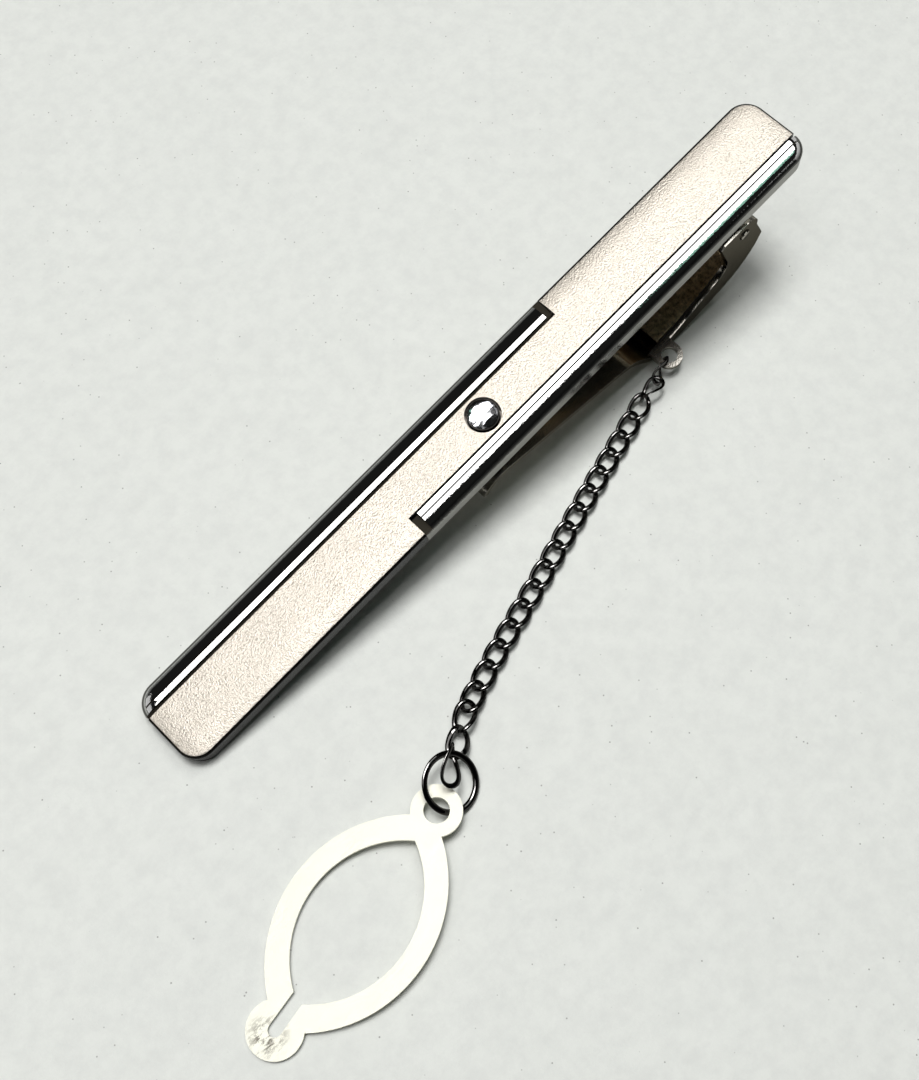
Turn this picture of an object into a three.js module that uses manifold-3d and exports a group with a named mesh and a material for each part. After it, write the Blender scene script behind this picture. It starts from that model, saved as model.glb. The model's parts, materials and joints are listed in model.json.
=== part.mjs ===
// Tie bar with a hinged clip, a curb chain and a button loop.
// Millimetres, +Z up. The bar lies on a level surface: its plain end touches the surface, and the
// other end is held up by the belly of the clip arm. +X runs along the bar towards the hinge, and
// the chain leaves the clip arm on the -Y side.

import * as THREE from 'three';
import { mergeVertices } from 'three/addons/utils/BufferGeometryUtils.js';
import Module from 'manifold-3d';

const wasm = await Module();
wasm.setup();

const radians = THREE.MathUtils.degToRad;

// ---------------------------------------------------------------- driving dimensions

const BAR_LENGTH = 58.3;
const BAR_WIDTH = 6.1;
const BAR_CORNER = 1.3;
const BAR_EDGE = 0.25;
const PANEL_HEIGHT = 1.45;
const STRIP_WIDTH = 1.65;
const STRIP_LEDGE = 0.4;
const STRIP_RISE = 0.2;
const STRIP_OVERLAP = 8.4;

const STONE_RADIUS = 0.98;
const CUP_RADIUS = 1.2;
const CUP_BORE = 1.03;
const CUP_DEPTH = 0.95;
const CUP_FLOOR = 0.2;
const CUP_PROUD = 0.12;
const FIT_GAP = 0.05;

const PIN_X = 22.6;
const PIN_DROP = 1.75;
const PIN_RADIUS = 0.42;
const PIN_LENGTH = 6.7;
const KNUCKLE_RADIUS = 0.95;
const BRACKET_LENGTH = 4.8;
const BRACKET_WIDTH = 4.6;
const BRACKET_SHEET = 0.35;
const BRACKET_NECK = 1.3;

const ARM_WIDTH = 6.4;
const ARM_SHEET = 0.45;
const EAR_RADIUS = 1.35;
const SPRING_WIDTH = 5.2;
const SPRING_SHEET = 0.25;
const SPRING_GAP = 0.12;

const LUG_X = 14.45;
const LUG_Y = -4.05;
const LUG_DROP = 7.6;
const LUG_RADIUS = 1;
const LUG_HOLE = 0.6;
const LUG_SHEET = 0.4;

const LINK_COUNT = 20;
const LINK_WIRE = 0.2;
const LINK_HALF_LENGTH = 1.1;
const LINK_HALF_WIDTH = 0.66;
const LINK_TWIST = 0.28;
const LINK_PITCH = 1.64;
const TAUT_LINKS = 4;
const TAUT_LENGTH = 0.2;
const LINK_STEPS = 18;
const LINK_SIDES = 6;
const LAST_LINK_LENGTH = 1.26;
const LAST_LINK_WIDTH = 1.1;

const RING_RADIUS = 1.88;
const RING_WIRE = 0.23;
const RING_TILT = radians(28);

const LOOP_SHEET = 0.28;
const LOOP_OUTER = new THREE.Vector2(7.78, 4.8);
const LOOP_INNER = new THREE.Vector2(5.9, 3.42);
const LOOP_HEADING = radians(9.1);
const LOOP_PITCH = radians(3.07);
const LOOP_ROLL = radians(3.6);
const EYE_X = 8.2;
const EYE_RADIUS = 1.66;
const EYE_HOLE = 0.84;
const TAIL_LUG_X = -7.8;
const TAIL_LUG_RADIUS = 1.77;
const SLOT_END_X = -7.8;
const SLOT_WIDTH = 0.88;
const TAIL_OFFSET = 0.2;

// ---------------------------------------------------------------- materials

const material = (name, color, roughness, metalness) =>
  new THREE.MeshStandardMaterial({ name, color, roughness, metalness });

const barMetal = material('satin_rhodium', 0xe9e3d8, 0.35, 1);
const cupMetal = material('cup_metal', 0xc9c6c0, 0.25, 1);
const stoneGlass = material('clear_stone', 0xf4f6f8, 0.05, 0);
const clipMetal = material('clip_steel', 0xa8a39a, 0.2, 1);
const springMetal = material('spring_steel', 0x6b5c3e, 0.55, 1);
const chainMetal = material('chain_metal', 0x3a3836, 0.18, 1);
const loopMetal = material('loop_sheet', 0xf2efe4, 0.4, 1);

// ---------------------------------------------------------------- helpers

/** A closed three.js geometry as a manifold solid. */
function solidOf(geometry) {
  const bare = geometry.index ? geometry.toNonIndexed() : geometry.clone();
  bare.deleteAttribute('normal');
  bare.deleteAttribute('uv');
  const merged = mergeVertices(bare, 1e-4);
  const vertProperties = new Float32Array(merged.attributes.position.array);
  const triVerts = new Uint32Array(merged.index.array);
  return new wasm.Manifold(new wasm.Mesh({ numProp: 3, vertProperties, triVerts }));
}

/** A manifold solid as a three.js geometry. */
function geometryOf(solid) {
  const mesh = solid.getMesh();
  const geometry = new THREE.BufferGeometry();
  geometry.setAttribute('position', new THREE.BufferAttribute(mesh.vertProperties, 3));
  geometry.setIndex(new THREE.BufferAttribute(mesh.triVerts, 1));
  geometry.computeVertexNormals();
  return geometry;
}

/** Adds one named piece to a group. */
function addPiece(parent, name, geometry, pieceMaterial) {
  const mesh = new THREE.Mesh(geometry, pieceMaterial);
  mesh.name = name;
  parent.add(mesh);
  return mesh;
}

/** A plate of the shape's outline, from z = 0 up to its thickness. */
function plate(shape, thickness, curveSegments = 8) {
  return new THREE.ExtrudeGeometry(shape, { depth: thickness, bevelEnabled: false, curveSegments });
}

/** A side outline in (x, z), made into a body of the given width centred on y. */
function crosswise(shape, width, y = 0) {
  const geometry = plate(shape, width);
  geometry.translate(0, 0, -width / 2);
  geometry.rotateX(Math.PI / 2);
  geometry.translate(0, y, 0);
  return geometry;
}

/** A cylinder along y, centred on (x, z). */
function crossCylinder(radius, width, x, z, sides) {
  const geometry = new THREE.CylinderGeometry(radius, radius, width, sides);
  geometry.translate(x, 0, z);
  return geometry;
}

/** A cylinder along z between two heights. */
function uprightCylinder(radius, low, high, x, y, sides) {
  const geometry = new THREE.CylinderGeometry(radius, radius, high - low, sides);
  geometry.rotateX(Math.PI / 2);
  geometry.translate(x, y, (low + high) / 2);
  return geometry;
}

/** A box between two corners. */
function boxBetween(low, high) {
  const size = new THREE.Vector3().subVectors(high, low);
  const geometry = new THREE.BoxGeometry(size.x, size.y, size.z);
  geometry.translate(...new THREE.Vector3().addVectors(low, high).multiplyScalar(0.5).toArray());
  return geometry;
}

/** A rectangle with rounded corners, centred on the origin. */
function roundedRectangle(length, width, corner) {
  const x = length / 2 - corner;
  const y = width / 2 - corner;
  const shape = new THREE.Shape();
  shape.absarc(x, y, corner, 0, Math.PI / 2);
  shape.absarc(-x, y, corner, Math.PI / 2, Math.PI);
  shape.absarc(-x, -y, corner, Math.PI, 1.5 * Math.PI);
  shape.absarc(x, -y, corner, 1.5 * Math.PI, 2 * Math.PI);
  shape.closePath();
  return shape;
}

/** A sheet-metal strip: the outline between a path and the same path moved to its left side. */
function stripShape(path, sheet, divisions) {
  const outer = path.getPoints(divisions);
  const inner = outer.map((point, i) => {
    const before = outer[Math.max(i - 1, 0)];
    const after = outer[Math.min(i + 1, outer.length - 1)];
    const along = new THREE.Vector2().subVectors(after, before).normalize();
    return new THREE.Vector2(point.x - along.y * sheet, point.y + along.x * sheet);
  });
  return new THREE.Shape([...outer, ...inner.reverse()]);
}

/** Closed round wire along a closed curve. */
function closedWire(curve, radius, steps, sides) {
  const section = new THREE.Shape().absarc(0, 0, radius, 0, 2 * Math.PI);
  const points = section.getPoints(sides).slice(0, sides);
  const frames = Array.from({ length: steps }, (_, i) => i / steps);
  const positions = [];
  const index = [];
  const previousNormal = new THREE.Vector3(0, 0, 1);
  for (const t of frames) {
    const centre = curve.getPoint(t);
    const tangent = curve.getTangent(t);
    const across = new THREE.Vector3().crossVectors(previousNormal, tangent).normalize();
    const normal = new THREE.Vector3().crossVectors(tangent, across);
    for (const point of points) {
      positions.push(...centre.clone().addScaledVector(across, point.x)
        .addScaledVector(normal, point.y).toArray());
    }
  }
  for (let i = 0; i < steps; i += 1) {
    const next = (i + 1) % steps;
    for (let j = 0; j < sides; j += 1) {
      const side = (j + 1) % sides;
      const a = i * sides + j;
      const b = i * sides + side;
      const c = next * sides + side;
      const d = next * sides + j;
      index.push(a, b, c, a, c, d);
    }
  }
  const geometry = new THREE.BufferGeometry();
  geometry.setAttribute('position', new THREE.Float32BufferAttribute(positions, 3));
  geometry.setIndex(index);
  geometry.computeVertexNormals();
  return geometry;
}

/** The unit vector of a heading in the level plane, lifted by a pitch. */
const heading = (angle, pitch = 0) => new THREE.Vector3(
  Math.cos(angle) * Math.cos(pitch), Math.sin(angle) * Math.cos(pitch), Math.sin(pitch));

// ---------------------------------------------------------------- front bar and stone

/** One polished strip from the +X side of a step, on the +Y edge, as a body to join to the bar. */
function polishedStrip() {
  const outer = BAR_WIDTH / 2;
  const inner = outer - STRIP_WIDTH;
  const top = PANEL_HEIGHT + STRIP_RISE;
  const section = new THREE.Shape();
  section.moveTo(inner, PANEL_HEIGHT / 2);
  section.lineTo(inner, top);
  section.lineTo(inner + STRIP_LEDGE, top);
  section.quadraticCurveTo(outer - BAR_EDGE, top - 0.05, outer, PANEL_HEIGHT - BAR_EDGE);
  section.lineTo(outer, PANEL_HEIGHT / 2);
  const length = BAR_LENGTH / 2 + STRIP_OVERLAP;
  const geometry = plate(section, length);
  geometry.rotateX(Math.PI / 2);
  geometry.rotateZ(Math.PI / 2);
  geometry.translate(-BAR_LENGTH / 2, 0, 0);
  return solidOf(geometry);
}

function frontBar() {
  const outline = roundedRectangle(BAR_LENGTH - 2 * BAR_EDGE, BAR_WIDTH - 2 * BAR_EDGE, BAR_CORNER);
  const slab = new THREE.ExtrudeGeometry(outline, {
    depth: PANEL_HEIGHT, bevelThickness: BAR_EDGE, bevelSize: BAR_EDGE, bevelSegments: 2,
    curveSegments: 4,
  });
  slab.translate(0, 0, -BAR_EDGE);
  const below = boxBetween(
    new THREE.Vector3(-BAR_LENGTH, -BAR_WIDTH, -2), new THREE.Vector3(BAR_LENGTH, BAR_WIDTH, 0));
  const footprint = plate(roundedRectangle(BAR_LENGTH, BAR_WIDTH, BAR_CORNER + BAR_EDGE), 3, 4);
  const strip = polishedStrip();
  const strips = strip.add(strip.rotate([0, 0, 180])).intersect(solidOf(footprint));
  const seat = uprightCylinder(CUP_RADIUS + FIT_GAP, PANEL_HEIGHT - CUP_DEPTH, 3, 0, 0, 32);
  return geometryOf(solidOf(slab).subtract(solidOf(below)).add(strips).subtract(solidOf(seat)));
}

/** Points of a turned profile, given as [radius, height] pairs. */
const profile = (...pairs) => pairs.map(([radius, height]) => new THREE.Vector2(radius, height));

/** A body turned about z. */
function turned(points, sides) {
  const geometry = new THREE.LatheGeometry(points, sides);
  geometry.rotateX(Math.PI / 2);
  return geometryOf(solidOf(geometry));
}

function stoneCup() {
  const low = PANEL_HEIGHT - CUP_DEPTH + FIT_GAP;
  const high = PANEL_HEIGHT + CUP_PROUD;
  return turned(profile(
    [0, low], [CUP_RADIUS, low], [CUP_RADIUS, high], [CUP_BORE, high],
    [CUP_BORE, low + CUP_FLOOR], [0, low + CUP_FLOOR],
  ), 32);
}

function roundStone() {
  const culet = PANEL_HEIGHT - CUP_DEPTH + CUP_FLOOR + 2 * FIT_GAP;
  const girdle = PANEL_HEIGHT;
  return turned(profile(
    [0, culet], [STONE_RADIUS, girdle - 0.06], [STONE_RADIUS, girdle],
    [STONE_RADIUS * 0.62, girdle + 0.26], [0, girdle + 0.26],
  ), 16);
}

// ---------------------------------------------------------------- hinge and clip arm

function hingeBracket() {
  const top = -FIT_GAP;
  const base = boxBetween(
    new THREE.Vector3(PIN_X - BRACKET_LENGTH / 2, -BRACKET_WIDTH / 2, top - BRACKET_SHEET),
    new THREE.Vector3(PIN_X + BRACKET_LENGTH / 2, BRACKET_WIDTH / 2, top));
  const neck = boxBetween(
    new THREE.Vector3(PIN_X - BRACKET_NECK / 2, -BRACKET_WIDTH / 2, -PIN_DROP),
    new THREE.Vector3(PIN_X + BRACKET_NECK / 2, BRACKET_WIDTH / 2, top - BRACKET_SHEET / 2));
  const knuckle = crossCylinder(KNUCKLE_RADIUS, BRACKET_WIDTH, PIN_X, -PIN_DROP, 20);
  const bore = crossCylinder(PIN_RADIUS + FIT_GAP, ARM_WIDTH, PIN_X, -PIN_DROP, 20);
  return geometryOf(
    solidOf(base).add(solidOf(neck)).add(solidOf(knuckle)).subtract(solidOf(bore)));
}

function hingePin() {
  return crossCylinder(PIN_RADIUS, PIN_LENGTH, PIN_X, -PIN_DROP, 20);
}

/** The underside of the arm, from the open tail end round the belly and along the jaw to its lip. */
function armPath() {
  const path = new THREE.Path();
  path.moveTo(24.9, -4.5);
  path.bezierCurveTo(24.2, -7.2, 22.2, -8.2, 19.3, -8.4);
  path.quadraticCurveTo(17.6, -8.6, 16, -8.95);
  path.bezierCurveTo(12.8, -9.6, 12.8, -5.9, 10.4, -5);
  path.lineTo(-0.9, -1.2);
  path.quadraticCurveTo(-2.5, -0.7, -3.1, -1.9);
  return path;
}

/** A side wall: the hinge ear, and the low rail below the side window. */
function sideWallShape() {
  const earTop = -PIN_DROP + EAR_RADIUS;
  const shape = new THREE.Shape();
  shape.moveTo(24.9, -4.5);
  shape.bezierCurveTo(24.2, -7.2, 22.2, -8.2, 19.3, -8.4);
  shape.quadraticCurveTo(17.6, -8.6, 16, -8.95);
  shape.bezierCurveTo(14.6, -9.2, 13.9, -8.6, 13.3, -7.9);
  shape.quadraticCurveTo(15.6, -7.7, 17.4, -6.9);
  shape.quadraticCurveTo(19.6, -5.9, 20.4, -5.6);
  shape.quadraticCurveTo(21.5, -5.1, 21.2, -3.9);
  shape.lineTo(20.1, earTop - 0.3);
  shape.lineTo(20.4, earTop);
  shape.absarc(PIN_X, -PIN_DROP, EAR_RADIUS, Math.PI / 2, radians(-10), true);
  return shape;
}

/** The flat lug that the chain hangs from, joined to the rail on the -Y side. */
function chainLug() {
  const low = -LUG_DROP - LUG_SHEET / 2;
  const high = -LUG_DROP + LUG_SHEET / 2;
  const bridge = boxBetween(
    new THREE.Vector3(LUG_X - LUG_RADIUS, LUG_Y, low),
    new THREE.Vector3(LUG_X + LUG_RADIUS, -ARM_WIDTH / 2 + ARM_SHEET / 2, high));
  return solidOf(uprightCylinder(LUG_RADIUS, low, high, LUG_X, LUG_Y, 20)).add(solidOf(bridge));
}

function clipArm() {
  const strip = crosswise(stripShape(armPath(), -ARM_SHEET, 8), ARM_WIDTH);
  const wallPlace = (ARM_WIDTH - ARM_SHEET) / 2;
  const wall = sideWallShape();
  const lugHole = uprightCylinder(LUG_HOLE, -LUG_DROP - 1, -LUG_DROP + 1, LUG_X, LUG_Y, 16);
  const pinHole = crossCylinder(PIN_RADIUS + FIT_GAP, ARM_WIDTH + 1, PIN_X, -PIN_DROP, 20);
  return geometryOf(solidOf(strip)
    .add(solidOf(crosswise(wall, ARM_SHEET, wallPlace)))
    .add(solidOf(crosswise(wall, ARM_SHEET, -wallPlace)))
    .add(chainLug())
    .subtract(solidOf(lugHole))
    .subtract(solidOf(pinHole)));
}

/** A folded leaf: one leg lies in the belly of the arm, and the other presses on the knuckle. */
function leafSpring() {
  const top = -PIN_DROP - KNUCKLE_RADIUS - SPRING_GAP;
  const path = new THREE.Path();
  path.moveTo(14.8, -8.17);
  path.quadraticCurveTo(17, -7.95, 19.3, -7.8);
  path.bezierCurveTo(22.2, -7.6, 24.1, -6.2, 24.1, -4.6);
  path.bezierCurveTo(24.1, -3.3, 23.6, top, 22.4, top);
  path.lineTo(20.9, top);
  return geometryOf(solidOf(crosswise(stripShape(path, SPRING_SHEET, 6), SPRING_WIDTH)));
}

// ---------------------------------------------------------------- chain, ring and loop

/** The centre line of a twisted oval link: its two ends turn opposite ways about its long axis. */
class LinkCurve extends THREE.Curve {
  constructor(length = 1, width = 1) {
    super();
    this.halfLength = LINK_HALF_LENGTH * length;
    this.halfWidth = LINK_HALF_WIDTH * width;
  }

  getPoint(t, target = new THREE.Vector3()) {
    const angle = 2 * Math.PI * t;
    return target.set(
      this.halfLength * Math.cos(angle),
      this.halfWidth * Math.sin(angle),
      LINK_TWIST * Math.sin(2 * angle));
  }
}

/** The centre line of the ring. */
class RingCurve extends THREE.Curve {
  getPoint(t, target = new THREE.Vector3()) {
    const angle = 2 * Math.PI * t;
    return target.set(RING_RADIUS * Math.cos(angle), RING_RADIUS * Math.sin(angle), 0);
  }
}

/** Places an object with its x axis along a direction, turned by roll about that direction. */
function place(object, position, direction, roll) {
  const side = new THREE.Vector3(0, 0, 1).cross(direction).normalize();
  const up = new THREE.Vector3().crossVectors(direction, side);
  object.matrixAutoUpdate = true;
  object.quaternion.setFromRotationMatrix(new THREE.Matrix4().makeBasis(direction, side, up));
  object.rotateX(roll);
  object.position.copy(position);
}

/** The line that the centres of the links follow, from the clip to the ring. */
const chainLine = new THREE.CatmullRomCurve3([
  new THREE.Vector3(14.5, -4.62, 0.9),
  new THREE.Vector3(12.7, -4.86, 0.75),
  new THREE.Vector3(9.19, -5.78, 0.52),
  new THREE.Vector3(2.97, -7.44, 0.52),
  new THREE.Vector3(-3.47, -9.24, 0.52),
  new THREE.Vector3(-9.99, -11.03, 0.52),
  new THREE.Vector3(-14.4, -12.5, 0.62),
  new THREE.Vector3(-15.86, -13.2, 0.88),
]);

/** The links that turn aside from the line: centre, then heading, pitch and roll in degrees. */
const TURNED_LINKS = {
  1: { centre: [14.47, -4.458, 1.064], turn: [-159.2, -4.9, 99.3] },
  2: { centre: [12.84, -4.946, 0.842], turn: [-175.5, -7.8, 41.6] },
  19: { centre: [-14.2, -12.5, 0.69], turn: [-153.8, 2.9, 13.7] },
  20: { centre: [-15.68, -13.375, 0.879], turn: [-147.2, 7.1, 174.5] },
};

/** Places one chain link, counted from the clip. */
function placeLink(link, number) {
  const taut = TAUT_LENGTH * Math.min(1, (number - 1) / TAUT_LINKS);
  const along = (LINK_PITCH * (number - 1) + taut) / (LINK_PITCH * (LINK_COUNT - 1) + TAUT_LENGTH);
  const turned = TURNED_LINKS[number];
  if (turned) {
    const [angle, pitch, roll] = turned.turn.map(radians);
    place(link, new THREE.Vector3(...turned.centre), heading(angle, pitch), roll);
  } else {
    place(link, chainLine.getPointAt(along), chainLine.getTangentAt(along), 0);
  }
}

/** The leaf-shaped outline between two arcs that meet at the ends of the long axis. */
function lensShape({ x: halfLength, y: halfWidth }) {
  const radius = (halfLength ** 2 + halfWidth ** 2) / (2 * halfWidth);
  const half = Math.asin(halfLength / radius);
  const offset = radius - halfWidth;
  const shape = new THREE.Shape();
  shape.absarc(0, -offset, radius, Math.PI / 2 - half, Math.PI / 2 + half);
  shape.absarc(0, offset, radius, 1.5 * Math.PI - half, 1.5 * Math.PI + half);
  shape.closePath();
  return shape;
}

function buttonLoop() {
  const level = (shape, depth) => solidOf(plate(shape, depth, 18).translate(0, 0, -depth / 2));
  const sheet = (shape) => level(shape, LOOP_SHEET);
  const cutter = (shape) => level(shape, 3 * LOOP_SHEET);
  const disc = (x, y, radius) => new THREE.Shape().absarc(x, y, radius, 0, 2 * Math.PI);
  const slot = new THREE.Shape();
  slot.absarc(SLOT_END_X, TAIL_OFFSET, SLOT_WIDTH / 2, Math.PI / 2, 1.5 * Math.PI);
  slot.lineTo(-LOOP_INNER.x / 2, TAIL_OFFSET - SLOT_WIDTH / 2);
  slot.lineTo(-LOOP_INNER.x / 2, TAIL_OFFSET + SLOT_WIDTH / 2);
  return geometryOf(sheet(lensShape(LOOP_OUTER))
    .add(sheet(disc(EYE_X, 0, EYE_RADIUS)))
    .add(sheet(disc(TAIL_LUG_X, TAIL_OFFSET, TAIL_LUG_RADIUS)))
    .subtract(cutter(lensShape(LOOP_INNER)))
    .subtract(cutter(disc(EYE_X, 0, EYE_HOLE)))
    .subtract(cutter(slot)));
}

// ---------------------------------------------------------------- assembly

const tieTack = new THREE.Group();

const bar = new THREE.Group();
const barTilt = Math.max(...armPath().getPoints(24)
  .map((point) => Math.atan2(-point.y, point.x + BAR_LENGTH / 2)));
bar.rotation.y = -barTilt;
bar.position.z = (BAR_LENGTH / 2) * Math.sin(barTilt);
tieTack.add(bar);
addPiece(bar, 'front_bar', frontBar(), barMetal);
addPiece(bar, 'stone_setting', stoneCup(), cupMetal);
addPiece(bar, 'crystal', roundStone(), stoneGlass);
addPiece(bar, 'hinge_bracket', hingeBracket(), clipMetal);
addPiece(bar, 'hinge_pin', hingePin(), clipMetal);
addPiece(bar, 'clip_arm', clipArm(), clipMetal);
addPiece(bar, 'leaf_spring', leafSpring(), springMetal);
bar.updateMatrixWorld(true);

const linkGeometry = closedWire(new LinkCurve(), LINK_WIRE, LINK_STEPS, LINK_SIDES);
for (let number = 1; number <= LINK_COUNT; number += 1) {
  const name = `chain_link_${String(number).padStart(2, '0')}`;
  placeLink(addPiece(tieTack, name, linkGeometry, chainMetal), number);
}

const ringCentre = new THREE.Vector3(-18.03, -14.9, 1.166);
const eyeDirection = heading(radians(-160.2));
const ringGeometry = closedWire(new RingCurve(), RING_WIRE, 28, 8);
place(addPiece(tieTack, 'jump_ring', ringGeometry, chainMetal),
  ringCentre, eyeDirection, -RING_TILT);

const lastLinkGeometry = closedWire(
  new LinkCurve(LAST_LINK_LENGTH, LAST_LINK_WIDTH), LINK_WIRE, LINK_STEPS + 2, LINK_SIDES);
place(addPiece(tieTack, 'chain_link_21', lastLinkGeometry, chainMetal),
  new THREE.Vector3(-17.39, -14.21, 1.834), heading(radians(-139.3), radians(4.8)),
  radians(-50.7));

const eyeCentre = ringCentre.clone().addScaledVector(eyeDirection, RING_RADIUS + 0.067);
const loopDirection = heading(LOOP_HEADING, LOOP_PITCH);
place(addPiece(tieTack, 'button_loop', buttonLoop(), loopMetal),
  eyeCentre.addScaledVector(loopDirection, -EYE_X), loopDirection, -LOOP_ROLL);

tieTack.updateMatrixWorld(true);
const extent = new THREE.Box3().setFromObject(tieTack, true);
const middle = extent.getCenter(new THREE.Vector3());
tieTack.position.set(-middle.x, -middle.y, -extent.min.z);

export default tieTack;
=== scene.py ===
"""Tie bar with a hinged clip, a curb chain and a button loop, lying on a pale surface."""
import json
import math
import random

import bmesh
import bpy
from mathutils import Matrix, Vector


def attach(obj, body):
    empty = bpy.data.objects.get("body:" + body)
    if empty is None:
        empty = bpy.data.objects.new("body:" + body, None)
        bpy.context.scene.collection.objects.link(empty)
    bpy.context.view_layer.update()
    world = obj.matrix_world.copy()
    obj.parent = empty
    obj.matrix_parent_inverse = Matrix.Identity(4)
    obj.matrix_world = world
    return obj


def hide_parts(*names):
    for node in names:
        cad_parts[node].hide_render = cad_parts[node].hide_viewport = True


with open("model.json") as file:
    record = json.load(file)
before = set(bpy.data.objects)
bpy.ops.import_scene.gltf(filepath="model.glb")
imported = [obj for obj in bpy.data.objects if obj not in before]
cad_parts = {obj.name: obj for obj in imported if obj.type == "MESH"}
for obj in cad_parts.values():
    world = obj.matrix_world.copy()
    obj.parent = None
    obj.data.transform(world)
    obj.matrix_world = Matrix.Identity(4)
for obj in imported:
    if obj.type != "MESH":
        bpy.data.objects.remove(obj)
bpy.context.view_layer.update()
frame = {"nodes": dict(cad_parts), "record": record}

MM = 0.001    # metres in a millimetre
WELD = 1e-6   # metres; CAD corners nearer than this are one corner

# ------------------------------------------------------------------ the bar's own axes
# u runs along the bar, v across it and w out of its decorated face, in millimetres from the
# middle of its back. The panel mount gives the face's place and direction.

PANEL_HEIGHT = 1.45
PANEL_MOUNT_U = -16.0
mount = next(m for m in frame["record"]["mounts"] if m["name"] == "bar_panel")
W_AXIS = Vector(mount["axis"]).normalized()
U_AXIS = Vector((W_AXIS.z, 0.0, -W_AXIS.x))
V_AXIS = Vector((0.0, 1.0, 0.0))
BAR_ORIGIN = Vector(mount["pos_m"]) - (PANEL_MOUNT_U * U_AXIS + PANEL_HEIGHT * W_AXIS) * MM


def bar_vector(u, v, w):
    return U_AXIS * u + V_AXIS * v + W_AXIS * w


def bar_point(u, v, w):
    """A point given in the bar's axes, in millimetres, as a point of the frame, in metres."""
    return BAR_ORIGIN + bar_vector(u, v, w) * MM


BAR_LENGTH = 58.3
BAR_WIDTH = 6.1
BAR_CORNER = 1.55
STRIP_WIDTH = 1.65
STRIP_OVERLAP = 8.4

# ------------------------------------------------------------------ materials


def new_material(name, base, metallic=1.0, roughness=0.3, **sockets):
    """A node material with its constant values on the shader's own sockets."""
    made = bpy.data.materials.new(name)
    made.use_nodes = True
    shader = made.node_tree.nodes["Principled BSDF"]
    shader.inputs["Base Color"].default_value = (*base, 1.0)
    shader.inputs["Metallic"].default_value = metallic
    shader.inputs["Roughness"].default_value = roughness
    for socket, value in sockets.items():
        shader.inputs[socket.replace("_", " ")].default_value = value
    return made, shader


def add_node(made, kind, **settings):
    node = made.node_tree.nodes.new(kind)
    for key, value in settings.items():
        if hasattr(node, key):
            setattr(node, key, value)
        else:
            node.inputs[key.replace("_", " ")].default_value = value
    return node


def wire(made, source, target):
    made.node_tree.links.new(source, target)


def noise_field(made, scale, detail=4.0, rough=0.6, stretch=(1.0, 1.0, 1.0), kind="noise"):
    """Noise over object coordinates in millimetres; the stretch is along x, y and z."""
    coordinates = add_node(made, "ShaderNodeTexCoord")
    mapping = add_node(made, "ShaderNodeMapping")
    mapping.inputs["Scale"].default_value = tuple(1000.0 * scale * s for s in stretch)
    wire(made, coordinates.outputs["Object"], mapping.inputs["Vector"])
    if kind == "voronoi":
        field = add_node(made, "ShaderNodeTexVoronoi")
        field.inputs["Scale"].default_value = 1.0
        wire(made, mapping.outputs["Vector"], field.inputs["Vector"])
        return field.outputs["Distance"]
    field = add_node(made, "ShaderNodeTexNoise")
    field.inputs["Scale"].default_value = 1.0
    field.inputs["Detail"].default_value = detail
    field.inputs["Roughness"].default_value = rough
    wire(made, mapping.outputs["Vector"], field.inputs["Vector"])
    return field.outputs["Fac"]


def remap(made, value, low, high, to_low, to_high):
    node = add_node(made, "ShaderNodeMapRange", clamp=True)
    for socket, number in zip(("From Min", "From Max", "To Min", "To Max"),
                              (low, high, to_low, to_high)):
        node.inputs[socket].default_value = number
    wire(made, value, node.inputs["Value"])
    return node.outputs["Result"]


def mix_colour(made, factor, first, second):
    """first and second are colours, or an output."""
    node = add_node(made, "ShaderNodeMix", data_type="RGBA")
    wire(made, factor, node.inputs[0])
    for index, colour in ((6, first), (7, second)):
        if isinstance(colour, tuple):
            node.inputs[index].default_value = (*colour, 1.0)
        else:
            wire(made, colour, node.inputs[index])
    return node.outputs[2]


def bump(made, shader, height, distance, strength=1.0):
    node = add_node(made, "ShaderNodeBump")
    node.inputs["Strength"].default_value = strength
    node.inputs["Distance"].default_value = distance * MM
    wire(made, height, node.inputs["Height"])
    wire(made, node.outputs["Normal"], shader.inputs["Normal"])


def facing_up(made, low, high):
    """0 on the sides of the bar and 1 on its face, from the mesh's own normals."""
    coordinates = add_node(made, "ShaderNodeTexCoord")
    along = add_node(made, "ShaderNodeVectorMath", operation="DOT_PRODUCT")
    wire(made, coordinates.outputs["Normal"], along.inputs[0])
    along.inputs[1].default_value = tuple(W_AXIS)
    return remap(made, along.outputs["Value"], low, high, 0.0, 1.0)


def satin_metal():
    """Fine blasted plate: a tight grain, with darker pinpoints, and painted shade on its edges,
    coloured near-black for the dark surroundings they reflect.
    """
    made, shader = new_material("satin_plate", (0.9, 0.86, 0.79), roughness=0.37)
    grain = noise_field(made, 9.0, detail=1.0, rough=0.6)
    patches = noise_field(made, 0.35, detail=3.0)
    pinpoints = remap(made, grain, 0.32, 0.44, 1.0, 0.0)
    tone = mix_colour(made, patches, (0.82, 0.75, 0.65), (0.88, 0.81, 0.715))
    tone = mix_colour(made, pinpoints, tone, (0.66, 0.595, 0.5))
    # Painted shade: the plate's sides and rounded edge are coloured near-black, standing in for the
    # dark floor and room they reflect.
    painted_edge_shade_mask = facing_up(made, 0.96, 0.993)
    wire(made, mix_colour(made, painted_edge_shade_mask, (0.012, 0.011, 0.01), tone), shader.inputs["Base Color"])
    wire(made, remap(made, patches, 0.3, 0.7, 0.35, 0.4), shader.inputs["Roughness"])
    bump(made, shader, grain, 0.034)
    return made


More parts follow.
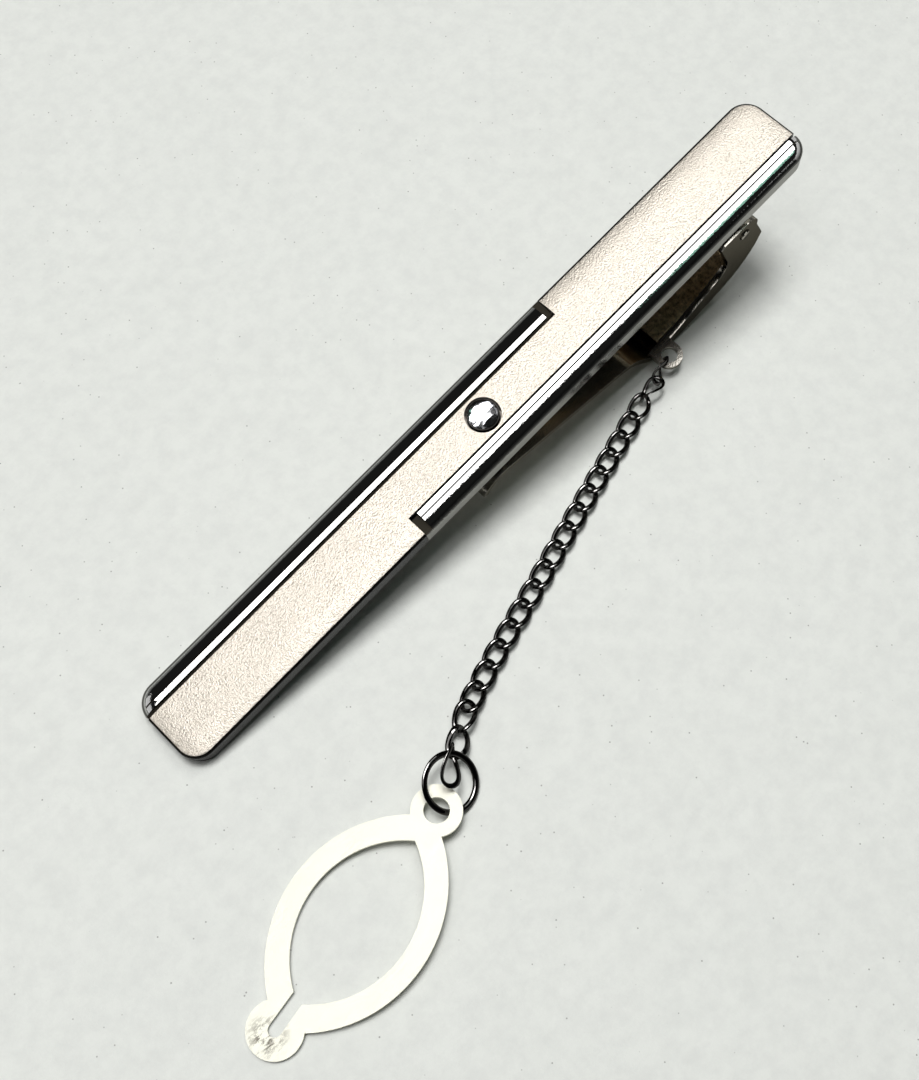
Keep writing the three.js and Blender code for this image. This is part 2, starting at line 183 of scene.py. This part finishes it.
def polished_metal(name, base, roughness, wear=0.0, side=None, foot=None, graze=1.0):
    """Mirror plate: a fine orange peel, and pits where it is worn.

    side is a painted reflection of dark shade on a sloping edge, and foot a painted reflection of
    the lit floor on an upright wall.
    """
    made, shader = new_material(name, base, roughness=roughness,
                                Specular_Tint=(graze, graze, graze, 1.0))
    pits = noise_field(made, 6.5, detail=2.0, rough=0.55)
    worn = remap(made, pits, 0.62, 0.7, 0.0, wear)
    tone = mix_colour(made, worn, base, tuple(0.45 * c for c in base))
    # Painted reflection: a dark colour on sloping edges and a pale one on upright walls, chosen by
    # how the faces turn.
    if side:
        tone = mix_colour(made, facing_up(made, 0.7, 0.88), side, tone)
        tone = mix_colour(made, facing_up(made, 0.56, 0.66), foot, tone)
    wire(made, tone, shader.inputs["Base Color"])
    wire(made, remap(made, pits, 0.45, 0.75, roughness, roughness + 0.03),
         shader.inputs["Roughness"])
    bump(made, shader, pits, 0.002 + 0.012 * wear)
    return made


def leaf_metal():
    made, shader = new_material("leaf_spring_steel", (0.34, 0.27, 0.17), roughness=0.5)
    grain = noise_field(made, 3.0, detail=5.0, rough=0.75)
    wire(made, mix_colour(made, remap(made, grain, 0.35, 0.68, 0.0, 1.0),
                          (0.26, 0.19, 0.11), (0.85, 0.68, 0.46)), shader.inputs["Base Color"])
    wire(made, remap(made, grain, 0.3, 0.7, 0.38, 0.62), shader.inputs["Roughness"])
    bump(made, shader, grain, 0.03)
    return made


def loop_metal():
    """Bright sheet with faint rolling lines, and tarnish about the tail lug."""
    made, shader = new_material("loop_sheet", (0.95, 0.93, 0.87), roughness=0.42)
    lines = noise_field(made, 1.5, detail=4.0, stretch=(0.25, 4.0, 1.0))
    blotch = noise_field(made, 1.6, detail=6.0, rough=0.75, stretch=(1.0, 2.5, 1.0))
    coordinates = add_node(made, "ShaderNodeTexCoord")
    distance = add_node(made, "ShaderNodeVectorMath", operation="DISTANCE")
    wire(made, coordinates.outputs["Object"], distance.inputs[0])
    distance.inputs[1].default_value = tuple(LOOP_TAIL)
    near = remap(made, distance.outputs["Value"], 0.0005, 0.0015, 1.0, 0.0)
    stained = add_node(made, "ShaderNodeMath", operation="MULTIPLY")
    wire(made, near, stained.inputs[0])
    wire(made, remap(made, blotch, 0.46, 0.58, 0.0, 1.0), stained.inputs[1])
    tone = mix_colour(made, lines, (0.74, 0.73, 0.63), (0.78, 0.77, 0.67))
    wire(made, mix_colour(made, stained.outputs[0], tone, (0.16, 0.145, 0.12)),
         shader.inputs["Base Color"])
    wire(made, remap(made, lines, 0.3, 0.7, 0.4, 0.44), shader.inputs["Roughness"])
    bump(made, shader, blotch, 0.01)
    return made


def stone_glass():
    made, shader = new_material("clear_stone", (0.98, 0.985, 1.0), metallic=0.0, roughness=0.01,
                                Transmission_Weight=1.0, IOR=1.5)
    facets = noise_field(made, 2.0, detail=1.0)
    wire(made, remap(made, facets, 0.3, 0.7, 0.005, 0.03), shader.inputs["Roughness"])
    return made


# ------------------------------------------------------------------ meshes

# The stain about the loop's tail lug is centred a little way in from the end of the loop.
STAIN_INSET = 1.2
tail_end = min((v.co for v in frame["nodes"]["button_loop"].data.vertices), key=lambda p: p.x)
LOOP_TAIL = tail_end + Vector((STAIN_INSET * MM, 0.0, 0.0))


def add_object(name, mesh, made, smooth=True):
    thing = bpy.data.objects.new(name, mesh)
    bpy.context.scene.collection.objects.link(thing)
    mesh.materials.append(made)
    for polygon in mesh.polygons:
        polygon.use_smooth = smooth
    return thing


def copy_of(node, name, made):
    """A mesh copy of a CAD node with its joined corners welded."""
    source = frame["nodes"][node]
    mesh = source.data.copy()
    mesh.materials.clear()
    work = bmesh.new()
    work.from_mesh(mesh)
    work.transform(source.matrix_world)
    bmesh.ops.remove_doubles(work, verts=work.verts, dist=WELD)
    work.to_mesh(mesh)
    work.free()
    return add_object(name, mesh, made)


def apply_modifiers(thing):
    graph = bpy.context.evaluated_depsgraph_get()
    mesh = bpy.data.meshes.new_from_object(thing.evaluated_get(graph))
    thing.modifiers.clear()
    thing.data = mesh


def round_edges(thing, width, segments=3, angle=0.5):
    """Rounds the edges of a mesh that are sharper than the angle."""
    bevel = thing.modifiers.new("round", "BEVEL")
    bevel.width = width * MM
    bevel.segments = segments
    bevel.limit_method = "ANGLE"
    bevel.angle_limit = angle
    bevel.harden_normals = False
    apply_modifiers(thing)


def shade(thing, angle=0.55):
    """Smooth shading that keeps broad faces flat and edges sharper than the angle crisp."""
    for polygon in thing.data.polygons:
        polygon.use_smooth = True
    thing.data.set_sharp_from_angle(angle=angle)
    even = thing.modifiers.new("even", "WEIGHTED_NORMAL")
    even.weight = 100
    even.keep_sharp = True
    apply_modifiers(thing)


def finish_piece(thing, body, slot_name, *nodes, angle=0.55):
    shade(thing, angle)
    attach(thing, body)
    if nodes:
        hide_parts(*nodes)
    return thing


def refined(node, body, slot_name, made, edge, segments=2, angle=0.55):
    """A CAD node with flat faces joined up and its edges rounded."""
    thing = copy_of(node, node + "_finish", made)
    if edge:
        work = bmesh.new()
        work.from_mesh(thing.data)
        bmesh.ops.dissolve_limit(work, angle_limit=0.01, verts=work.verts, edges=work.edges)
        work.to_mesh(thing.data)
        work.free()
        round_edges(thing, edge, segments)
    return finish_piece(thing, body, slot_name, node, angle=angle)


def smooth_wire(node, body, made, swell):
    """A CAD wire ring made round: its section is swelled first, because smoothing draws it in."""
    thing = copy_of(node, node + "_wire", made)
    work = bmesh.new()
    work.from_mesh(thing.data)
    bmesh.ops.join_triangles(work, faces=work.faces, angle_face_threshold=0.9,
                             angle_shape_threshold=1.2)
    work.normal_update()
    for vertex in work.verts:
        vertex.co += vertex.normal * swell * MM
    work.to_mesh(thing.data)
    work.free()
    smoother = thing.modifiers.new("smooth", "SUBSURF")
    smoother.levels = smoother.render_levels = 2
    apply_modifiers(thing)
    return finish_piece(thing, body, "chain_metal", node, angle=3.0)


def outline_points(length, width, corner, steps=10):
    """Corner points of a rounded rectangle in (u, v), anticlockwise."""
    points = []
    for quarter, (x, y) in enumerate(((1, 1), (-1, 1), (-1, -1), (1, -1))):
        for step in range(steps + 1):
            angle = (quarter + step / steps) * math.pi / 2
            points.append((x * (length / 2 - corner) + corner * math.cos(angle),
                           y * (width / 2 - corner) + corner * math.sin(angle)))
    return points


def prism(name, points, low, high, made):
    """A body of an outline in (u, v) between two heights w, in the bar's axes in millimetres."""
    work = bmesh.new()
    bottom = [work.verts.new((u, v, low)) for u, v in points]
    top = [work.verts.new((u, v, high)) for u, v in points]
    work.faces.new(bottom[::-1])
    work.faces.new(top)
    for i in range(len(points)):
        j = (i + 1) % len(points)
        work.faces.new((bottom[i], bottom[j], top[j], top[i]))
    mesh = bpy.data.meshes.new(name)
    work.to_mesh(mesh)
    work.free()
    return add_object(name, mesh, made)


def combine(thing, other, operation):
    """Boolean of two bodies; the second is used up."""
    modifier = thing.modifiers.new("combine", "BOOLEAN")
    modifier.solver = "EXACT"
    modifier.operation = operation
    modifier.object = other
    apply_modifiers(thing)
    bpy.data.objects.remove(other)


def into_bar(thing):
    """Moves a mesh made in the bar's axes, in millimetres, to its place in the frame."""
    turn = Matrix((U_AXIS, V_AXIS, W_AXIS)).transposed().to_4x4()
    thing.data.transform(Matrix.Translation(BAR_ORIGIN) @ turn @ Matrix.Scale(MM, 4))


# ------------------------------------------------------------------ front bar
# Lengths are in millimetres, and heights are above the back of the bar.

EDGE_ROUND = 0.2                  # rounding of the plate's upper edge
PANEL_CROWN = 0.085               # rise of the satin face from its edges to its middle
CROWN_REACH = 1.5                 # the faces are level further in than this
STRIP_TOP = PANEL_HEIGHT + 0.2
STRIP_DROP = 0.5                  # fall of a strip's crown to its outer edge
CROWN_WIDTH = 0.98
STRIP_GAP = 0.03                  # clearance between a strip's end and the plate
GROOVE = 0.22                     # width of the groove between panel and strip
GROOVE_FLOOR = 0.6
LINE_WIDTH = 0.11                 # the fine line between a strip's ledge and its crown
LINE_DEPTH = 0.16
END_COVE = 0.6                    # the step at a strip's end
COVE_DEPTH = 0.42
SEAT_RADIUS = 1.25                # the hole for the stone's cup
SEAT_DEPTH = 0.95
CUT_LOW, CUT_HIGH = -1.0, 3.0     # cutting bodies reach well below and above the bar

SATIN = satin_metal()
# Painted shade for the strips' recesses: dark metals laid on the floors of the grooves, lines and
# coves.
PAINTED_RECESS_SHADE = polished_metal("painted_recess_shade", (0.03, 0.027, 0.021), 0.45)
PAINTED_SOFT_RECESS_SHADE = polished_metal("painted_soft_recess_shade", (0.15, 0.135, 0.11), 0.45)
# The strips' side and foot colours are painted reflection: near-black on the sloping outer crown,
# pale grey on the upright walls.
MIRROR = polished_metal("edge_mirror", (0.86, 0.86, 0.84), 0.04, wear=0.35,
                        side=(0.09, 0.09, 0.085), foot=(0.5, 0.49, 0.46), graze=0.5)


def cushion(name, profile, made):
    """A body on the bar's outline from (inset, height) pairs, rising from the foot to the top."""
    work = bmesh.new()
    rings = [[work.verts.new((u, v, height)) for u, v in outline_points(
        BAR_LENGTH - 2 * inset, BAR_WIDTH - 2 * inset, BAR_CORNER - inset)]
        for inset, height in profile]
    work.faces.new(rings[0][::-1])
    work.faces.new(rings[-1])
    for low, high in zip(rings, rings[1:]):
        for i in range(len(low)):
            j = (i + 1) % len(low)
            work.faces.new((low[i], low[j], high[j], high[i]))
    mesh = bpy.data.meshes.new(name)
    work.to_mesh(mesh)
    work.free()
    return add_object(name, mesh, made)


def plate_profile():
    """Side, rounded edge and a faintly crowned face."""
    points = [(0.0, 0.0), (0.0, PANEL_HEIGHT - PANEL_CROWN - EDGE_ROUND)]
    for step in range(1, 5):
        angle = step * math.pi / 8
        points.append((EDGE_ROUND * (1 - math.cos(angle)),
                       PANEL_HEIGHT - PANEL_CROWN - EDGE_ROUND * (1 - math.sin(angle))))
    for step in range(1, 11):
        part = step / 10
        points.append((EDGE_ROUND + (CROWN_REACH - EDGE_ROUND) * part,
                       PANEL_HEIGHT - PANEL_CROWN * (1 - part) ** 2))
    return points


def strip_profile():
    """Side and crown of an edge strip, level from the ledge inwards."""
    points = [(0.0, 0.0)]
    for step in range(21):
        part = 1 - step / 20
        points.append((CROWN_WIDTH * (1 - part), STRIP_TOP - STRIP_DROP * (
            0.26 * part + 0.74 * part ** 3.5)))
    return points + [(CROWN_REACH, STRIP_TOP)]


def slab(name, u_span, v_span, low, high):
    """A cutting block; its spans may run either way, so its faces are turned outwards."""
    corners = [(u_span[0], v_span[0]), (u_span[1], v_span[0]),
               (u_span[1], v_span[1]), (u_span[0], v_span[1])]
    work = prism(name, corners, low, high, MIRROR)
    fix = bmesh.new()
    fix.from_mesh(work.data)
    bmesh.ops.recalc_face_normals(fix, faces=fix.faces)
    fix.to_mesh(work.data)
    fix.free()
    return work


def front_bar():
    """The satin plate, and a polished strip set into each edge, at opposite ends."""
    inner = BAR_WIDTH / 2 - STRIP_WIDTH
    wall = inner + GROOVE
    far = BAR_LENGTH    # well past the end of the bar
    plate = cushion("bar_plate", plate_profile(), SATIN)
    for side in (1, -1):
        combine(plate, slab("strip_room", (-side * far, side * STRIP_OVERLAP),
                            (side * inner, side * BAR_WIDTH), CUT_LOW, CUT_HIGH), "DIFFERENCE")
    seat = [(SEAT_RADIUS * math.cos(i * math.pi / 24), SEAT_RADIUS * math.sin(i * math.pi / 24))
            for i in range(48)]
    combine(plate, prism("seat", seat, PANEL_HEIGHT - SEAT_DEPTH, CUT_HIGH, SATIN),
            "DIFFERENCE")
    into_bar(plate)
    finish_piece(plate, "bar", "bar_metal", "front_bar")
    for side, name in ((1, "edge_strip_far"), (-1, "edge_strip_near")):
        strip = cushion(name, strip_profile(), MIRROR)
        end = side * (STRIP_OVERLAP - STRIP_GAP)
        line = side * (BAR_WIDTH / 2 - CROWN_WIDTH)
        combine(strip, slab("room", (-side * far, end), (side * inner, side * BAR_WIDTH),
                            CUT_LOW, CUT_HIGH), "INTERSECT")
        combine(strip, slab("groove", (-side * far, side * far), (0.0, side * wall),
                            GROOVE_FLOOR, CUT_HIGH), "DIFFERENCE")
        combine(strip, slab("line", (-side * far, side * far), (line, line - side * LINE_WIDTH),
                            STRIP_TOP - LINE_DEPTH, CUT_HIGH), "DIFFERENCE")
        combine(strip, slab("cove", (end - side * END_COVE, side * far), (0.0, side * far),
                            STRIP_TOP - COVE_DEPTH, CUT_HIGH), "DIFFERENCE")
        # The flat floors of the cove and the groove take painted shade: dark metals that stand in
        # for the shade in these hollows, paler in the far strip's groove.
        strip.data.materials.append(PAINTED_RECESS_SHADE)
        strip.data.materials.append(PAINTED_SOFT_RECESS_SHADE if side > 0 else PAINTED_RECESS_SHADE)
        for polygon in strip.data.polygons:
            if polygon.normal.z > 0.99 and 0.2 < polygon.center.z < STRIP_TOP - 0.1:
                polygon.material_index = 2 if polygon.center.z < 1.0 else 1
        into_bar(strip)
        finish_piece(strip, "bar", "bar_metal", "front_bar", angle=0.5)


front_bar()

# ------------------------------------------------------------------ stone and its cup

GIRDLE_RADIUS = 1.0
TABLE_RADIUS, TABLE_RISE = 0.55, 0.2    # of the flat facet on top of the stone
KITE_RADIUS, KITE_RISE = 0.82, 0.13     # of the corners between table and girdle
FOIL_RADIUS = 0.99
FOIL_SIDES = 18
FOIL_DEPTH = 0.35
CUP_OUTER, CUP_INNER = 1.13, 1.01
CUP_FLOOR = 0.3
BEAD_RADIUS = 0.06
AXIS_GAP = 0.01                         # a turned section stops just short of its axis


def ring_points(radius, height, count, offset=0.0):
    return [(radius * math.cos(2 * math.pi * (i + offset) / count),
             radius * math.sin(2 * math.pi * (i + offset) / count), height) for i in range(count)]


def turned_piece(name, profile, made, sides=64):
    """A closed body turned about w, from (radius, height) pairs that form a closed section."""
    work = bmesh.new()
    rings = [[work.verts.new(p) for p in ring_points(radius, height, sides)]
             for radius, height in profile]
    for k in range(len(rings)):
        here, there = rings[k], rings[(k + 1) % len(rings)]
        for i in range(sides):
            j = (i + 1) % sides
            work.faces.new((here[i], here[j], there[j], there[i]))
    bmesh.ops.recalc_face_normals(work, faces=work.faces)
    mesh = bpy.data.meshes.new(name)
    work.to_mesh(mesh)
    work.free()
    return add_object(name, mesh, made)


def stone():
    """A round cut stone: table, star and kite facets down to the girdle, and a shallow back."""
    girdle = PANEL_HEIGHT
    levels = [ring_points(TABLE_RADIUS, girdle + TABLE_RISE, 8, 0.5),
              ring_points(KITE_RADIUS, girdle + KITE_RISE, 8),
              ring_points(GIRDLE_RADIUS, girdle + 0.02, 16),
              ring_points(GIRDLE_RADIUS, girdle - 0.06, 16)]
    work = bmesh.new()
    for points in levels:
        for point in points:
            work.verts.new(point)
    bmesh.ops.convex_hull(work, input=work.verts)
    bmesh.ops.dissolve_limit(work, angle_limit=0.02, verts=work.verts, edges=work.edges)
    mesh = bpy.data.meshes.new("cut_stone")
    work.to_mesh(mesh)
    work.free()
    thing = add_object("cut_stone", mesh, STONE, smooth=False)
    into_bar(thing)
    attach(thing, "bar")
    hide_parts("crystal")


def foil():
    """The bright fluted backing under the stone: unequal facets from the middle to the rim."""
    top = PANEL_HEIGHT - 0.1
    draw = random.Random(5)
    work = bmesh.new()
    rim = [work.verts.new((x, y, z - draw.uniform(0.0, 0.05)))
           for x, y, z in ring_points(FOIL_RADIUS, top, FOIL_SIDES)]
    foot = [work.verts.new(p) for p in ring_points(FOIL_RADIUS, top - FOIL_DEPTH, FOIL_SIDES)]
    middle = work.verts.new((0.06, -0.04, top - 0.05))
    work.faces.new(foot[::-1])
    for i in range(FOIL_SIDES):
        j = (i + 1) % FOIL_SIDES
        work.faces.new((foot[i], foot[j], rim[j], rim[i]))
        work.faces.new((rim[i], rim[j], middle))
    mesh = bpy.data.meshes.new("stone_foil")
    work.to_mesh(mesh)
    work.free()
    thing = add_object("stone_foil", mesh, FOIL, smooth=False)
    into_bar(thing)
    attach(thing, "bar")
    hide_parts("stone_setting")


def cup():
    """The thin cup round the stone, open at the top, with a rounded bead for its rim."""
    low = PANEL_HEIGHT - 0.9
    top = PANEL_HEIGHT + 0.1
    bead = [(CUP_OUTER - BEAD_RADIUS + BEAD_RADIUS * math.cos(a * math.pi / 8),
             top - BEAD_RADIUS + BEAD_RADIUS * math.sin(a * math.pi / 8)) for a in range(9)]
    profile = [(AXIS_GAP, low), (CUP_OUTER, low), *bead,
               (CUP_INNER, low + CUP_FLOOR), (AXIS_GAP, low + CUP_FLOOR)]
    thing = turned_piece("stone_cup", profile, CUP)
    into_bar(thing)
    finish_piece(thing, "bar", "cup_metal", "stone_setting")


STONE = stone_glass()
CUP = polished_metal("cup_metal", (0.06, 0.056, 0.052), 0.15)
FOIL = polished_metal("foil_metal", (0.9, 0.9, 0.9), 0.05)
cup()
foil()
stone()

# ------------------------------------------------------------------ clip, chain, ring and loop

ARM_STEEL = polished_metal("arm_steel", (0.5, 0.475, 0.425), 0.14, wear=0.4, graze=0.1)
CHAIN_STEEL = polished_metal("chain_wire", (0.085, 0.082, 0.079), 0.07, graze=0.2)
refined("clip_arm", "clip", "clip_metal", ARM_STEEL, 0.1, segments=3)
refined("leaf_spring", "clip", "spring_metal", leaf_metal(), 0.04)
refined("hinge_bracket", "bar", "clip_metal", ARM_STEEL, 0.06)
refined("hinge_pin", "bar", "clip_metal", ARM_STEEL, 0.08)
refined("button_loop", "loop", "loop_metal", loop_metal(), 0, angle=0.2)

BODY_OF = {node: body for body, nodes in frame["record"]["behaviour"]["bodies"].items()
           for node in nodes}
# The first links have less room round them, so their wire is left a little thinner.
SWELL = 0.036
RING_SWELL = 0.024
SLIM_SWELL = {"chain_link_01": 0.016, "chain_link_02": 0.0, "chain_link_03": 0.0}
WIRE_PIECES = [smooth_wire(node, BODY_OF[node], CHAIN_STEEL, SLIM_SWELL.get(node, SWELL))
               for node in sorted(frame["nodes"]) if node.startswith("chain_link_")]
WIRE_PIECES.append(smooth_wire("jump_ring", "ring", CHAIN_STEEL, RING_SWELL))

# ------------------------------------------------------------------ floor, light and camera


FLOOR_HALF = 0.6


def stage_floor():
    """A pale painted table top, faintly mottled and specked."""
    made, shader = new_material("table_top", (0.72, 0.735, 0.71), metallic=0.0, roughness=0.55)
    mottling = noise_field(made, 0.16, detail=8.0, rough=0.9)
    clouds = noise_field(made, 0.7, detail=4.0, rough=0.7)
    specks = noise_field(made, 1.0, kind="voronoi")
    tone = mix_colour(made, mottling, (0.65, 0.665, 0.63), (0.77, 0.785, 0.745))
    tone = mix_colour(made, remap(made, clouds, 0.35, 0.6, 0.35, 0.0), tone, (0.58, 0.59, 0.57))
    wire(made, mix_colour(made, remap(made, specks, 0.03, 0.07, 1.0, 0.0), tone,
                          (0.3, 0.3, 0.28)), shader.inputs["Base Color"])
    bump(made, shader, mottling, 0.05)
    mesh = bpy.data.meshes.new("table_top")
    corners = [(x * FLOOR_HALF, y * FLOOR_HALF, 0) for x, y in ((-1, -1), (1, -1), (1, 1), (-1, 1))]
    mesh.from_pydata(corners, [], [(0, 1, 2, 3)])
    floor = add_object("table_top", mesh, made, smooth=False)


def area_light(name, place, aim, size, power, colour=(1.0, 1.0, 1.0), height=None):
    light = bpy.data.lights.new(name, "AREA")
    light.shape = "RECTANGLE"
    light.size = size
    light.size_y = height or size
    light.energy = power
    light.color = colour
    lamp = bpy.data.objects.new(name, light)
    bpy.context.scene.collection.objects.link(lamp)
    lamp.location = place
    lamp.rotation_euler = (Vector(aim) - Vector(place)).to_track_quat("-Z", "Y").to_euler()
    return lamp


CAMERA_PLACE = bar_point(-18.097, -25.708, 85.039)
CAMERA_RIGHT = bar_vector(0.69725, -0.7116, -0.08636)
CAMERA_DOWN = bar_vector(-0.70566, -0.66021, -0.25723)
CAMERA_FORWARD = bar_vector(0.12603, 0.2403, -0.96248)


def make_camera():
    camera = bpy.data.cameras.new("camera")
    camera.sensor_fit = "VERTICAL"
    camera.sensor_height = 36.0
    camera.lens = 45.03
    camera.clip_start = 0.002
    camera.clip_end = 10.0
    thing = bpy.data.objects.new("camera", camera)
    bpy.context.scene.collection.objects.link(thing)
    turn = Matrix((CAMERA_RIGHT, -CAMERA_DOWN, -CAMERA_FORWARD)).transposed().to_4x4()
    thing.matrix_world = Matrix.Translation(CAMERA_PLACE) @ turn
    bpy.context.scene.camera = thing


HORIZON_GLOW = 0.3
ROOM_GLOW = 0.012


def make_world():
    """A dim room overhead, and a pale band of wall around the horizon."""
    world = bpy.data.worlds.new("studio")
    bpy.context.scene.world = world
    bpy.context.scene.view_settings.view_transform = "Standard"
    world.use_nodes = True
    background = world.node_tree.nodes["Background"]
    background.inputs["Color"].default_value = (0.8, 0.82, 0.8, 1.0)
    direction = add_node(world, "ShaderNodeTexCoord")
    height = add_node(world, "ShaderNodeSeparateXYZ")
    wire(world, direction.outputs["Generated"], height.inputs[0])
    wire(world, remap(world, height.outputs["Z"], 0.08, 0.4, HORIZON_GLOW, ROOM_GLOW),
         background.inputs["Strength"])


def sky_card(name, along, across, length, width, power, colour=(1.0, 1.0, 1.0), distance=0.3):
    """A soft light overhead: it stands off the bar's middle by angles along u and v, in degrees."""
    aim = bar_point(0, 0, 0)
    direction = bar_vector(math.tan(math.radians(along)), math.tan(math.radians(across)), 1.0)
    place = aim + direction.normalized() * distance
    lamp = area_light(name, place, aim, length, power, colour, height=width)
    facing = (place - aim).normalized()
    side = (U_AXIS - facing * U_AXIS.dot(facing)).normalized()
    lamp.matrix_world = Matrix.Translation(place) @ Matrix(
        (side, facing.cross(side), facing)).transposed().to_4x4()
    return lamp


stage_floor()
make_world()
make_camera()
sky_card("sky_card", 12, 8, 0.42, 0.145, 0.54)
key = sky_card("key_lamp", 11, 11, 0.48, 0.36, 13.3, distance=1.4)
key.visible_glossy = False
glint = sky_card("wire_glint", 11, 14, 0.19, 0.17, 2.8, distance=0.35)
bright_wire = bpy.data.collections.new("bright_wire")
for wire_piece in WIRE_PIECES:
    bright_wire.objects.link(wire_piece)
glint.light_linking.receiver_collection = bright_wire
sky_card("mint_card", 34, -12, 0.1, 0.05, 0.008, colour=(0.5, 1.0, 0.8))

# Pale walls low down at both ends of the bar light its metal where it's seen from the sides.
WALL_DISTANCE = 0.55
WALL_HEIGHT = 0.27
WALL_SIZE = (0.6, 0.36)
WALL_POWER = 0.35
bright_bar = bpy.data.collections.new("bright_bar")
for name in ("bar_plate", "edge_strip_far", "edge_strip_near", "cut_stone", "stone_foil",
             "stone_cup", "button_loop_finish"):
    bright_bar.objects.link(bpy.data.objects[name])
for turn in (30, 150, 210, 330):
    level = math.radians(turn)
    place = Vector((WALL_DISTANCE * math.cos(level), WALL_DISTANCE * math.sin(level), WALL_HEIGHT))
    wall_light = area_light(f"wall_{turn}", place, (0.0, 0.0, 0.0), WALL_SIZE[0], WALL_POWER,
                            height=WALL_SIZE[1])
    wall_light.visible_camera = False
    wall_light.light_linking.receiver_collection = bright_bar
